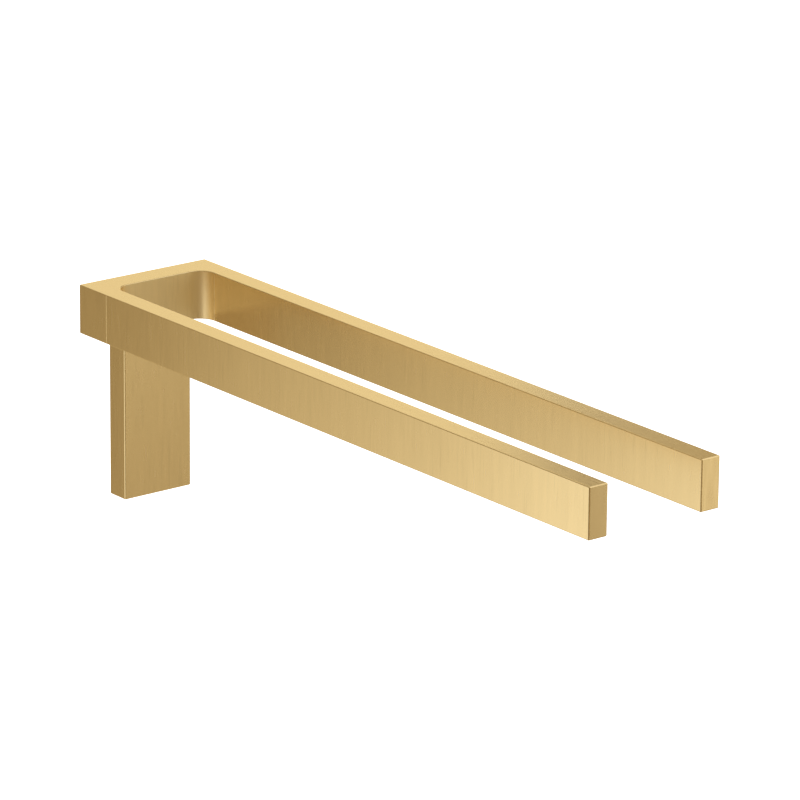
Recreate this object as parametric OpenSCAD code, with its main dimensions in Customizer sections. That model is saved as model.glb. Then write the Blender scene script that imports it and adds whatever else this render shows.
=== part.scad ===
// Two-arm towel holder for a wall, in millimetres.
// The wall is the plane y = 0, the arms stand out from it along -Y, and Z is up.
// The origin is in the wall plane, midway between the two wall screw holes of the bracket.

/* [Arms] */
// How far the arms' ends stand out from the wall
arm_reach = 436; // [250:1:600]
// Width over both arms
fork_w = 85; // [76:1:140]
// Thickness of an arm
arm_t = 12; // [11:0.5:18]
// Height of the arms and of the yoke
arm_h = 28; // [24:0.5:45]
// Radius on the edges of the arms and the yoke
edge_r = 0.6; // [0.3:0.1:1.5]
// Bevel on both sides of the joint between an arm and the yoke
seam_bevel = 0.25; // [0.1:0.05:0.5]

/* [Yoke] */
// Depth of the yoke from the wall to its joints with the arms
yoke_d = 25.5; // [23:0.5:40]
// Thickness of the yoke's back wall, behind the pocket
back_wall = 15.5; // [15:0.5:20]
// Radius of the pocket's two inner corners
corner_r = 10; // [2:0.5:14]

/* [Wall post] */
// Width of the post
post_w = 45; // [38:1:66]
// Height of the post below the yoke
post_drop = 97; // [85:1:160]
// Depth of the post from the wall to its front
post_d = 14; // [13:0.5:15]
// Radius on the edges of the post
post_edge_r = 0.8; // [0.3:0.1:1.5]
// Wall left in front of the recess
front_wall = 3; // [2:0.5:4]
// Wall left on each side of the recess
side_wall = 3; // [2:0.5:5]
// Solid top of the post, which takes its screws
post_top = 14; // [12:0.5:20]
// Solid bottom of the post, which is threaded for the clamp screw
post_bottom = 8; // [6:0.5:12]
// Radius of the recess in its four corners
recess_r = 3; // [1:0.5:4]
// Width of each of the two hooks at the top of the recess
hook_w = 9; // [6:0.5:12]

/* [Wall bracket] */
// Thickness of the bracket
bracket_t = 9; // [8:0.5:9.5]
// Depth of the bevels at the bracket's top and bottom, at 45 degrees
hook_bevel = 6; // [5:0.5:7]
// Radius of the bracket's corners
bracket_r = 4; // [1:0.5:6]
// Distance of a wall screw hole from the nearer end of the bracket
wall_hole_edge = 12.5; // [11:0.5:18]
// Diameter of the two wall screw holes
wall_hole_d = 5.5; // [4:0.5:6.5]
// Diameter of the sink for a wall screw's head
wall_head_d = 11; // [9:0.5:14]
// Depth of the sink for a wall screw's head
wall_head_depth = 4; // [2:0.5:5]

/* [Screws] */
// Thread diameter of the arm and post screws
screw_d = 5; // [4:0.5:5.5]
// Length of an arm screw under its head
arm_screw_len = 35; // [33:1:50]
// Length of a post screw under its head
post_screw_len = 20; // [16:1:22]
// Distance of a post screw from the post's middle
post_screw_x = 5.5; // [5:0.5:7]
// Depth of a screw head below the face that it is sunk in
head_sink = 0.9; // [0.2:0.1:2]
// Thickness of the lock washers
washer_t = 1.6; // [1:0.1:2]
// Width of the slit in a lock washer
washer_slit = 1; // [0.5:0.1:1.5]
// Thread diameter of the clamp screw
clamp_d = 5; // [4:0.5:6]
// Distance of the clamp screw from the wall
clamp_y = 4; // [3.5:0.1:4.5]
// Depth of the clamp screw's end inside the post's underside
clamp_recess = 1.9; // [0.5:0.1:3]

/* [Dowels] */
// Diameter of the dowel pins
dowel_d = 4; // [3:0.5:5]
// Length of the dowels between the yoke and an arm
arm_dowel_len = 16; // [10:1:24]
// Length of the dowels between the yoke and the post
post_dowel_len = 12; // [8:1:16]
// Distance of an arm dowel from the arm's upper or lower face
arm_dowel_edge = 6; // [4:0.5:7]
// Distance of a post dowel from the post's side
post_dowel_edge = 7; // [5:0.5:8]

/* [Clearances] */
// Gap round a screw in its thread
thread_gap = 0.05; // [0.02:0.01:0.1]
// Gap round a screw in a plain hole, and round a head in its sink
hole_gap = 0.3; // [0.1:0.05:0.5]
// Gap round a dowel in its hole
dowel_gap = 0.02; // [0.01:0.01:0.05]
// Depth left beyond the end of a screw or a dowel in its hole
end_gap = 1.5; // [0.5:0.5:3]
// Gap between the bracket's bevels and what bears on them
seat_gap = 0.1; // [0.05:0.05:0.2]
// Gap between the bracket and each side of the recess
side_gap = 0.5; // [0.3:0.1:1]
// Gap above the bracket, under the post's solid top
top_gap = 1; // [0.5:0.5:2]
// Spare height below the bracket for lifting the post off its bevel
lift_spare = 2; // [1:0.5:4]

/* [Hidden] */

// Facets per circle in the preview, and the overshoot of a cut past a face
$fn = 64;
cut = 1;

// Colours of the two metals
brass = [0.79, 0.66, 0.43];
steel = [0.70, 0.71, 0.73];

// Left is -X and right is +X
left = -1;
right = 1;

// The arms and the yoke
arm_x = (fork_w - arm_t) / 2;
yoke_bottom = post_drop / 2;
yoke_top = yoke_bottom + arm_h;
yoke_mid = yoke_bottom + arm_h / 2;
pocket_w = fork_w - 2 * arm_t;
pocket_d = yoke_d - back_wall;
pocket_r = min(corner_r, pocket_d);

// The post's recess, and the bracket in it
post_bottom_z = -post_drop / 2;
recess_w = post_w - 2 * side_wall;
recess_d = post_d - front_wall;
recess_top = yoke_bottom - post_top;
recess_bottom = post_bottom_z + post_bottom;
bracket_w = recess_w - 2 * side_gap;
bracket_top = recess_top - top_gap;
bracket_bottom = recess_bottom + hook_bevel + lift_spare;
wall_hole_z = min(bracket_top, -bracket_bottom) - wall_hole_edge;

// Proportions of socket-head screws and their washers, as shares of the thread diameter
head_share = 1.7;
head_edge_share = 0.08;
chamfer_share = 0.12;
washer_share = 1.76;
washer_hole_share = 1.02;
cap_key_share = 0.8;
set_key_share = 0.5;
key_depth_share = 0.5;

// Socket-head screws, whose heads are as high as the thread is wide
head_d = head_share * screw_d;
head_h = screw_d;
head_edge = head_edge_share * screw_d;
thread_chamfer = chamfer_share * screw_d;
washer_d = washer_share * screw_d;
washer_hole_d = washer_hole_share * screw_d;
sink_d = washer_d + 2 * hole_gap;
sink_depth = washer_t + head_h + head_sink;

// Hex sockets, and the chamfer of the clamp screw and of its hole
cap_key = cap_key_share * screw_d;
cap_key_depth = key_depth_share * screw_d;
set_key = set_key_share * clamp_d;
set_key_depth = key_depth_share * clamp_d;
clamp_lead_in = head_edge_share * clamp_d;

// Chamfer of a dowel's ends, as a share of its diameter
dowel_chamfer_share = 0.1;

// Where the screws and dowels stand
arm_seat_y = -(sink_depth - washer_t);
post_seat_z = recess_top + sink_depth - washer_t;
post_line_y = -recess_d / 2;
arm_dowel_z = arm_h / 2 - arm_dowel_edge;
post_dowel_x = post_w / 2 - post_dowel_edge;
dowel_chamfer = dowel_chamfer_share * dowel_d;
clamp_tip_z = bracket_bottom + hook_bevel - clamp_y - seat_gap;
clamp_end_z = post_bottom_z + clamp_recess;

// Rectangle about the origin with round corners
module round_rect(w, h, r) {
    square([w - 2 * r, h], center = true);
    square([w, h - 2 * r], center = true);
    for (x = [-1, 1], y = [-1, 1])
        translate([x * (w / 2 - r), y * (h / 2 - r)]) circle(r = r);
}

// Block between two corners with all its edges rounded
module round_block(low, high, r) {
    size = high - low;
    translate((low + high) / 2)
        intersection() {
            linear_extrude(size.z, center = true) round_rect(size.x, size.y, r);
            rotate([90, 0, 0]) linear_extrude(size.y, center = true) round_rect(size.x, size.z, r);
            rotate([90, 0, 90]) linear_extrude(size.x, center = true) round_rect(size.y, size.z, r);
        }
}

// Block between two corners
module block(low, high) {
    translate(low) cube(high - low);
}

// Profile that a rounded edge takes off the corner at the origin, metal on the +X -Y side
module edge_profile(r) {
    difference() {
        translate([-cut, -r]) square([r + cut, r + cut]);
        translate([r, -r]) circle(r = r);
        translate([r, -r - cut]) square([cut, r + cut]);
    }
}

// Cylinder along -Y from a point in the wall's frame
module bore_y(x, y, z, d, len) {
    translate([x, y, z]) rotate([90, 0, 0]) cylinder(d = d, h = len);
}

// Cylinder along +Z from a point
module bore_z(x, y, z, d, len) {
    translate([x, y, z]) cylinder(d = d, h = len);
}

// Bevel cut round an arm's joint with the yoke
module seam_cut(side) {
    leg = seam_bevel * sqrt(2);
    for (x = [-1, 1])
        translate([side * arm_x + x * arm_t / 2, -yoke_d, yoke_mid])
            rotate([0, 0, 45]) cube([leg, leg, arm_h + 2 * cut], center = true);
    for (z = [-1, 1])
        translate([side * arm_x, -yoke_d, yoke_mid + z * arm_h / 2])
            rotate([45, 0, 0]) cube([arm_t + 2 * cut, leg, leg], center = true);
}

// The dowel holes on both sides of an arm joint
module arm_dowel_holes(side) {
    for (z = [-1, 1])
        bore_y(side * arm_x, -yoke_d + arm_dowel_len / 2, yoke_mid + z * arm_dowel_z,
               dowel_d + 2 * dowel_gap, arm_dowel_len);
}

// The dowel holes on both sides of the post's joint
module post_dowel_holes() {
    for (x = [-1, 1])
        bore_z(x * post_dowel_x, post_line_y, yoke_bottom - post_dowel_len / 2,
               dowel_d + 2 * dowel_gap, post_dowel_len);
}

// Outline of the pocket seen from above, open towards the arms
module pocket_outline() {
    translate([-pocket_w / 2, -yoke_d - cut]) square([pocket_w, pocket_d - pocket_r + cut]);
    translate([pocket_r - pocket_w / 2, -yoke_d - cut]) square([pocket_w - 2 * pocket_r, pocket_d + cut]);
    for (x = [-1, 1])
        translate([x * (pocket_w / 2 - pocket_r), -back_wall - pocket_r]) circle(r = pocket_r);
}

// Rounding of the pocket's upper edge
module pocket_edge() {
    corner_x = pocket_w / 2 - pocket_r;
    corner_y = -back_wall - pocket_r;
    // Along the back wall
    translate([-corner_x, -back_wall, 0]) rotate([90, 0, 90]) linear_extrude(2 * corner_x) edge_profile(edge_r);
    for (x = [0, 1]) mirror([x, 0, 0]) {
        // Round the corner
        translate([corner_x, corner_y, 0]) rotate_extrude(angle = 90) translate([pocket_r, 0]) edge_profile(edge_r);
        // Along the cheek
        translate([pocket_w / 2, corner_y, 0]) rotate([90, 0, 0]) linear_extrude(yoke_d + corner_y + cut)
            edge_profile(edge_r);
    }
}

// U-shaped head against the wall, which carries the arms and the post
module yoke() {
    color(brass) difference() {
        round_block([-fork_w / 2, -yoke_d - edge_r - cut, yoke_bottom], [fork_w / 2, 0, yoke_top], edge_r);
        block([-fork_w, -yoke_d - 2 * cut - 2 * edge_r, yoke_bottom - cut], [fork_w, -yoke_d, yoke_top + cut]);
        translate([0, 0, yoke_bottom - cut]) linear_extrude(arm_h + 2 * cut) pocket_outline();
        translate([0, 0, yoke_top]) pocket_edge();
        translate([0, 0, yoke_bottom]) mirror([0, 0, 1]) pocket_edge();
        for (side = [left, right]) {
            seam_cut(side);
            arm_dowel_holes(side);
            bore_y(side * arm_x, cut, yoke_mid, sink_d, sink_depth + cut);
            bore_y(side * arm_x, cut, yoke_mid, screw_d + 2 * hole_gap, yoke_d + 2 * cut);
        }
        post_dowel_holes();
        for (x = [-1, 1])
            bore_z(x * post_screw_x, post_line_y, yoke_bottom - cut, screw_d + 2 * thread_gap,
                   post_seat_z + post_screw_len + end_gap - yoke_bottom + cut);
    }
}

// Flat bar, square at the yoke and with broken edges at its free end
module arm(side) {
    x = side * arm_x;
    color(brass) difference() {
        round_block([x - arm_t / 2, -arm_reach, yoke_bottom],
                    [x + arm_t / 2, -yoke_d + edge_r + cut, yoke_top], edge_r);
        block([x - arm_t, -yoke_d, yoke_bottom - cut], [x + arm_t, edge_r + 2 * cut, yoke_top + cut]);
        seam_cut(side);
        arm_dowel_holes(side);
        bore_y(x, arm_seat_y, yoke_mid, screw_d + 2 * thread_gap, arm_screw_len + end_gap);
    }
}

// The two hooks at the top of the recess, bevelled like the bracket's upper edge
module hooks() {
    low = bracket_top - hook_bevel + seat_gap;
    difference() {
        for (side = [left, right])
            translate([side * (recess_w - hook_w) / 2 - hook_w / 2 - (side == left ? cut : 0), 0, 0])
                rotate([90, 0, 90]) linear_extrude(hook_w + cut)
                    polygon([[cut, low - cut], [cut, recess_top + cut], [-hook_bevel, recess_top + cut],
                             [-hook_bevel, low + hook_bevel]]);
        for (x = [-1, 1])
            bore_z(x * post_screw_x, post_line_y, low - cut, sink_d, hook_bevel + top_gap + cut);
    }
}

// Upright cover, open at the back, which hangs over the bracket
module wall_post() {
    color(brass) difference() {
        round_block([-post_w / 2, -post_d, post_bottom_z],
                    [post_w / 2, post_edge_r + cut, yoke_bottom + post_edge_r + cut], post_edge_r);
        block([-post_w, 0, post_bottom_z - cut], [post_w, post_edge_r + 2 * cut, yoke_top]);
        block([-post_w, -post_d - cut, yoke_bottom], [post_w, cut, yoke_top]);
        difference() {
            translate([0, cut, (recess_top + recess_bottom) / 2]) rotate([90, 0, 0])
                linear_extrude(recess_d + cut) round_rect(recess_w, recess_top - recess_bottom, recess_r);
            hooks();
        }
        for (x = [-1, 1]) {
            bore_z(x * post_screw_x, post_line_y, recess_top - cut, sink_d, sink_depth + cut);
            bore_z(x * post_screw_x, post_line_y, recess_top, screw_d + 2 * hole_gap, post_top + cut);
        }
        post_dowel_holes();
        bore_z(0, -clamp_y, post_bottom_z - cut, clamp_d + 2 * thread_gap, post_bottom + 2 * cut);
        // Lead-in for the clamp screw
        translate([0, -clamp_y, post_bottom_z - cut])
            cylinder(d1 = clamp_d + 2 * (clamp_lead_in + cut), d2 = clamp_d, h = clamp_lead_in + cut);
    }
}

// Plate that is screwed to the wall, bevelled behind its upper and lower edges
module wall_bracket() {
    color(steel) difference() {
        translate([0, 0, (bracket_top + bracket_bottom) / 2]) rotate([90, 0, 0])
            linear_extrude(bracket_t) round_rect(bracket_w, bracket_top - bracket_bottom, bracket_r);
        rotate([90, 0, 90]) linear_extrude(bracket_w + 2 * cut, center = true) {
            polygon([[-hook_bevel - cut, bracket_top + cut], [cut, bracket_top + cut],
                     [cut, bracket_top - hook_bevel - cut]]);
            polygon([[-hook_bevel - cut, bracket_bottom - cut], [cut, bracket_bottom - cut],
                     [cut, bracket_bottom + hook_bevel + cut]]);
        }
        for (z = [-1, 1]) {
            bore_y(0, cut, z * wall_hole_z, wall_hole_d, bracket_t + 2 * cut);
            bore_y(0, wall_head_depth - bracket_t, z * wall_hole_z, wall_head_d, wall_head_depth + cut);
        }
    }
}

// Hexagonal prism measured across its flats, rising from z = 0
module hex_prism(key, h) {
    cylinder(d = key / cos(30), h = h, $fn = 6);
}

// Socket-head screw along +Z, with its head below z = 0
module cap_screw(len) {
    difference() {
        rotate_extrude() polygon([[0, -head_h], [head_d / 2 - head_edge, -head_h], [head_d / 2, head_edge - head_h],
                                  [head_d / 2, 0], [screw_d / 2, 0], [screw_d / 2, len - thread_chamfer],
                                  [screw_d / 2 - thread_chamfer, len], [0, len]]);
        translate([0, 0, -head_h - cut]) hex_prism(cap_key, cap_key_depth + cut);
    }
}

// Split lock washer that rises from z = 0
module lock_washer() {
    difference() {
        cylinder(d = washer_d, h = washer_t);
        translate([0, 0, -cut]) cylinder(d = washer_hole_d, h = washer_t + 2 * cut);
        translate([-washer_slit / 2, 0, -cut]) cube([washer_slit, washer_d, washer_t + 2 * cut]);
    }
}

// Dowel pin along Z about the origin
module dowel(len) {
    rotate_extrude() polygon([[0, -len / 2], [dowel_d / 2 - dowel_chamfer, -len / 2],
                              [dowel_d / 2, dowel_chamfer - len / 2], [dowel_d / 2, len / 2 - dowel_chamfer],
                              [dowel_d / 2 - dowel_chamfer, len / 2], [0, len / 2]]);
}

// Cone-point set screw in the post's underside, which bears on the bracket's lower bevel
module clamp_screw() {
    color(steel) translate([0, -clamp_y, 0]) difference() {
        rotate_extrude() polygon([[0, clamp_end_z], [clamp_d / 2 - clamp_lead_in, clamp_end_z],
                                  [clamp_d / 2, clamp_end_z + clamp_lead_in],
                                  [clamp_d / 2, clamp_tip_z - clamp_d / 2], [0, clamp_tip_z]]);
        translate([0, 0, clamp_end_z - cut]) hex_prism(set_key, set_key_depth + cut);
    }
}

// Screw from the yoke's back into an arm
module arm_screw(side) {
    color(steel) translate([side * arm_x, arm_seat_y, yoke_mid]) rotate([90, 0, 0]) cap_screw(arm_screw_len);
}

// Lock washer under an arm screw's head
module arm_lock_washer(side) {
    color(steel) translate([side * arm_x, arm_seat_y, yoke_mid]) rotate([90, 0, 0]) lock_washer();
}

// The two dowels in an arm joint
module arm_dowels(side) {
    color(steel) for (z = [-1, 1])
        translate([side * arm_x, -yoke_d, yoke_mid + z * arm_dowel_z]) rotate([90, 0, 0]) dowel(arm_dowel_len);
}

// The two screws up through the post's top into the yoke
module post_screws() {
    color(steel) for (x = [-1, 1])
        translate([x * post_screw_x, post_line_y, post_seat_z]) cap_screw(post_screw_len);
}

// The lock washers under the post screws' heads
module post_lock_washers() {
    color(steel) for (x = [-1, 1])
        translate([x * post_screw_x, post_line_y, post_seat_z]) lock_washer();
}

// The two dowels between the post and the yoke
module post_dowels() {
    color(steel) for (x = [-1, 1])
        translate([x * post_dowel_x, post_line_y, yoke_bottom]) dowel(post_dowel_len);
}

yoke();
arm(left);  // left_arm
arm(right);  // right_arm
wall_post();
wall_bracket();
clamp_screw();
arm_screw(left);  // left_arm_screw
arm_screw(right);  // right_arm_screw
arm_lock_washer(left);  // left_arm_lock_washer
arm_lock_washer(right);  // right_arm_lock_washer
arm_dowels(left);  // left_arm_dowels
arm_dowels(right);  // right_arm_dowels
post_screws();
post_lock_washers();
post_dowels();
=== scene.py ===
from collections import namedtuple
from math import cos, pi, radians, sin

import bmesh
import bpy
from bpy.props import FloatProperty, FloatVectorProperty, IntProperty, PointerProperty
from mathutils import Matrix, Vector


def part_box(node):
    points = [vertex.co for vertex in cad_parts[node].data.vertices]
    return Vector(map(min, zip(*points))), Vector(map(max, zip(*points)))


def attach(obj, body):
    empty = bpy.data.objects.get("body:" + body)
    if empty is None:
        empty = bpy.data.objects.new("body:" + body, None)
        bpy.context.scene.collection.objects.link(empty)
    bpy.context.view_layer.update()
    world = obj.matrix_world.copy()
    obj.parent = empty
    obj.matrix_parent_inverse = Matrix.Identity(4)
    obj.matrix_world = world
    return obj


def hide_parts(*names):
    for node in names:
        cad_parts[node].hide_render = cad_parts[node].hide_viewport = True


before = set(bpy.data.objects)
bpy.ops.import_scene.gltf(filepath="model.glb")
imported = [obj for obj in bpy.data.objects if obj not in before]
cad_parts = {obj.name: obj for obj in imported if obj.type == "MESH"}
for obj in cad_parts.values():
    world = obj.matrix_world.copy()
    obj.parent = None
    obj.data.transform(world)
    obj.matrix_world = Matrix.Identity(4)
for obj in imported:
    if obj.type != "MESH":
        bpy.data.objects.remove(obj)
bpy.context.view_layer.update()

bl_info = {
    "name": "Two-arm towel holder",
    "version": (1, 0, 0),
    "blender": (4, 5, 0),
    "location": "View3D > Sidebar > Towel Holder",
    "description": "Models and finishes a wall-mounted towel holder in brushed brass",
    "category": "Add Mesh",
}

BODY = "root"
SIDES = ("left", "right")
X, Y, Z = range(3)
# Upwards and away from the wall, and the turn that makes a screw built along +Z point away from it
UP = Vector((0, 0, 1))
FORWARD = Vector((0, -1, 0))
TO_FRONT = Matrix.Rotation(radians(90), 4, "X")
POST_LOW, POST_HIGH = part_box("wall_post")
HEAD_LOW, HEAD_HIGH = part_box("yoke")
PLATE_LOW, PLATE_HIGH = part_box("wall_bracket")
# Half the distance between the two arms, which is half the width of the head's pocket
HALF_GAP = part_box("right_arm")[0].x

# Difference below which two places count as one, and distance below which two vertices are merged
TOLERANCE = 1e-6
MERGE_DISTANCE = 1e-7
# How far a cutter stands out past the faces that it cuts
OVERSHOOT = 0.001
# Angle between two faces above which their edge is a sharp one
SHARP_ANGLE = radians(30)
# Faces round a hole, and across a round corner of the pocket, the recess and the wall plate
HOLE_SEGMENTS = 64
POCKET_STEPS = 20
RECESS_STEPS = 8
PLATE_STEPS = 12
# Straight stretch between the pocket's round corners and the arms, in broken edges of the joint
SEAM_STRETCH = 1.2

# Faces round a turned part, and rings on one turn of its thread
THREAD_STEPS = 32
RINGS_PER_TURN = 8
# Depth of a thread in pitches, and the number of turns that stay plain under a screw's head
THREAD_DEPTH = 0.6
PLAIN_TURNS = 3
# Proportions of the screws in thread diameters: radius and broken edge of a cap, chamfers at the
# shank's end and at the clamp screw's start, widths of the two kinds of hex socket, and their depth
CAP_RADIUS = 0.85
CAP_EDGE = 0.08
SHANK_CHAMFER = 0.12
LEAD_IN = 0.08
CAP_KEY = 0.8
SET_KEY = 0.5
KEY_DEPTH = 0.5
# Narrow end of the cone that cuts the lead-in of the clamp screw's hole, as a share of the hole
LEAD_IN_END = 0.5


class HolderSizes(bpy.types.PropertyGroup):
    """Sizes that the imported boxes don't give."""

    edge_radius: FloatProperty(
        name="Edge radius", description="Radius on the edges of the arms and the head",
        default=0.0006, min=0.0001, max=0.0015, unit="LENGTH")
    seam_radius: FloatProperty(
        name="Seam edge", description="Broken edge on both sides of the joint of an arm and the head",
        default=0.00025, min=0.0001, max=0.0005, unit="LENGTH")
    flush_radius: FloatProperty(
        name="Flush edge", description="Broken edge of that joint on level faces, where it hardly shows",
        default=0.00008, min=0.00003, max=0.0005, unit="LENGTH")
    post_edge_radius: FloatProperty(
        name="Post edge radius", description="Radius on the post's front and lower edges",
        default=0.0008, min=0.0003, max=0.0015, unit="LENGTH")
    rim_radius: FloatProperty(
        name="Rim edge", description="Broken edge round holes and at the open back of the post",
        default=0.0002, min=0.0001, max=0.0005, unit="LENGTH")
    back_wall: FloatProperty(
        name="Back wall", description="Thickness of the head behind its pocket",
        default=0.0155, min=0.015, max=0.02, unit="LENGTH")
    corner_radius: FloatProperty(
        name="Pocket corner", description="Radius of the pocket's two inner corners",
        default=0.01, min=0.002, max=0.014, unit="LENGTH")
    front_wall: FloatProperty(
        name="Front wall", description="Wall of the post in front of its recess",
        default=0.003, min=0.002, max=0.004, unit="LENGTH")
    side_wall: FloatProperty(
        name="Side wall", description="Wall of the post beside its recess",
        default=0.003, min=0.002, max=0.005, unit="LENGTH")
    post_top: FloatProperty(
        name="Post top", description="Solid top of the post, which takes its screws",
        default=0.014, min=0.012, max=0.02, unit="LENGTH")
    post_bottom: FloatProperty(
        name="Post bottom", description="Solid bottom of the post, which takes the clamp screw",
        default=0.008, min=0.006, max=0.012, unit="LENGTH")
    recess_radius: FloatProperty(
        name="Recess corner", description="Radius of the recess in its four corners",
        default=0.003, min=0.001, max=0.004, unit="LENGTH")
    hook_width: FloatProperty(
        name="Hook width", description="Width of each hook at the top of the recess",
        default=0.009, min=0.006, max=0.012, unit="LENGTH")
    hook_bevel: FloatProperty(
        name="Hook bevel", description="Depth of the bevels behind the plate's upper and lower edges",
        default=0.006, min=0.005, max=0.007, unit="LENGTH")
    seat_gap: FloatProperty(
        name="Seat gap", description="Gap in height between a hook and the plate's bevel",
        default=0.0001, min=0.00005, max=0.0002, unit="LENGTH")
    plate_radius: FloatProperty(
        name="Plate corner", description="Radius of the wall plate's corners",
        default=0.004, min=0.001, max=0.006, unit="LENGTH")
    wall_hole_edge: FloatProperty(
        name="Wall hole place", description="Distance of a wall screw's hole from the plate's nearer end",
        default=0.0125, min=0.011, max=0.018, unit="LENGTH")
    wall_hole: FloatProperty(
        name="Wall hole", description="Diameter of a wall screw's hole",
        default=0.0055, min=0.004, max=0.0065, unit="LENGTH")
    wall_sink: FloatProperty(
        name="Wall screw sink", description="Diameter of the sink for a wall screw's head",
        default=0.011, min=0.009, max=0.014, unit="LENGTH")
    wall_sink_depth: FloatProperty(
        name="Wall screw sink depth", description="Depth of the sink for a wall screw's head",
        default=0.004, min=0.002, max=0.005, unit="LENGTH")
    screw: FloatProperty(
        name="Thread", description="Thread diameter of the arm, post and clamp screws",
        default=0.005, min=0.004, max=0.006, unit="LENGTH")
    thread_pitch: FloatProperty(
        name="Thread pitch", description="Rise of the screws' thread in one turn",
        default=0.0008, min=0.0005, max=0.001, unit="LENGTH")
    head_height: FloatProperty(
        name="Screw head", description="Height of a socket head",
        default=0.005, min=0.004, max=0.006, unit="LENGTH")
    hole_gap: FloatProperty(
        name="Hole gap", description="Gap round a screw in a plain hole, and round a head in its sink",
        default=0.0003, min=0.0001, max=0.0005, unit="LENGTH")
    thread_gap: FloatProperty(
        name="Thread gap", description="Gap round a screw or a dowel in its own hole",
        default=0.00005, min=0.00001, max=0.0001, unit="LENGTH")
    round_steps: IntProperty(
        name="Edge steps", description="Faces across a rounded edge",
        default=5, min=2, max=8)


class HolderFinish(bpy.types.PropertyGroup):
    """Colours and surface detail of the metals, and the painted light on the pocket's flat wall."""

    brass: FloatVectorProperty(
        name="Brass", description="Reflected colour of the brushed brass",
        default=(0.90, 0.75, 0.49), min=0, max=1, size=3, subtype="COLOR")
    brass_edge: FloatVectorProperty(
        name="Brass edge tint", description="Tint of the brass at a glancing angle",
        default=(0.97, 0.90, 0.72), min=0, max=1, size=3, subtype="COLOR")
    brass_roughness: FloatProperty(
        name="Brass roughness", description="Mean roughness of the brushed brass",
        default=0.25, min=0.05, max=0.6)
    # Painted light: this tint makes the pocket's flat wall paler than the brass, in place of light
    # reflected there
    pocket_painted_light: FloatVectorProperty(
        name="Pocket tint", description="How much paler than the brass the pocket's milled flat wall is",
        default=(1.07, 1.14, 1.26), min=1, max=2, size=3)
    pocket_matt: FloatProperty(
        name="Pocket matt", description="How much rougher than the brass the pocket's milled walls are",
        default=0.15, min=0, max=0.5)
    wall_matt: FloatProperty(
        name="Flat wall matt", description="How much rougher than the other milled walls the flat one is",
        default=0.17, min=0, max=0.5)
    stroke_width: FloatProperty(
        name="Stroke width", description="Width of one brush stroke",
        default=0.0011, min=0.0002, max=0.003, unit="LENGTH")
    stroke_length: FloatProperty(
        name="Stroke length", description="Length of one brush stroke",
        default=0.015, min=0.002, max=0.05, unit="LENGTH")
    stroke_tone: FloatProperty(
        name="Stroke tone", description="How much a stroke lightens or darkens the brass",
        default=0.042, min=0, max=0.5)
    single_tone: FloatProperty(
        name="Single strokes", description="How much the few single strokes darken the brass",
        default=0.04, min=0, max=0.5)
    stroke_depth: FloatProperty(
        name="Stroke depth", description="Depth of the brush strokes in the surface",
        default=0.000002, min=0, max=0.0001, unit="LENGTH")
    steel: FloatVectorProperty(
        name="Steel", description="Reflected colour of the stainless steel",
        default=(0.56, 0.57, 0.59), min=0, max=1, size=3, subtype="COLOR")
    plate_roughness: FloatProperty(
        name="Plate roughness", description="Mean roughness of the blasted wall plate",
        default=0.45, min=0.1, max=0.8)
    screw_roughness: FloatProperty(
        name="Screw roughness", description="Mean roughness of the turned screws",
        default=0.28, min=0.1, max=0.8)


class StudioSettings(bpy.types.PropertyGroup):
    """Camera and light of the picture."""

    azimuth: FloatProperty(
        name="Azimuth", description="Turn of the camera to the right of the wall's normal",
        default=radians(-38.222), subtype="ANGLE")
    elevation: FloatProperty(
        name="Elevation", description="Height of the camera above the horizon",
        default=radians(17.611), subtype="ANGLE")
    roll: FloatProperty(
        name="Roll", description="Tilt of the camera about its own axis",
        default=radians(0.544), subtype="ANGLE")
    distance: FloatProperty(
        name="Distance", description="Distance of the camera from its target",
        default=2.982, min=0.5, max=10, unit="LENGTH")
    target: FloatVectorProperty(
        name="Target", description="Point that the camera looks at",
        default=(0.00534, -0.22428, 0.05828), size=3, subtype="TRANSLATION", unit="LENGTH")
    lens: FloatProperty(
        name="Lens", description="Focal length in millimetres on a 36 mm sensor",
        default=255.89, min=20, max=500)
    floor_drop: FloatProperty(
        name="Floor", description="Depth of the floor below the middle of the wall screws",
        default=3.6, min=0.1, max=5, unit="LENGTH")
    floor_size: FloatProperty(
        name="Floor size", description="Length of the floor's sides",
        default=30, min=4, max=100, unit="LENGTH")
    room_level: FloatProperty(
        name="Room level", description="Light that the room gives to the floor",
        default=0.9, min=0, max=2)
    floor_colour: FloatVectorProperty(
        name="Floor colour", description="Colour of the pale floor",
        default=(0.86, 0.86, 0.86), min=0, max=1, size=3, subtype="COLOR")


# Sensor width of the camera in millimetres, and how far it sees in metres
SENSOR_WIDTH = 36
CAMERA_REACH = 100
# Planes of the light tent round the object
LEFT, RIGHT = -0.30, 0.90
FRONT, BACK = -1.05, 0.75
BOTTOM, TOP = -0.35, 0.85
BLACK = (0.0, 0.0, 0.0)
WHITE = (1.0, 1.0, 1.0)
# Tints of the cards' light that isn't white
COOL = (1.0, 1.06, 1.30)
WARM = (1.0, 0.95, 0.84)
MILD = (1.0, 0.975, 0.94)
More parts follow.
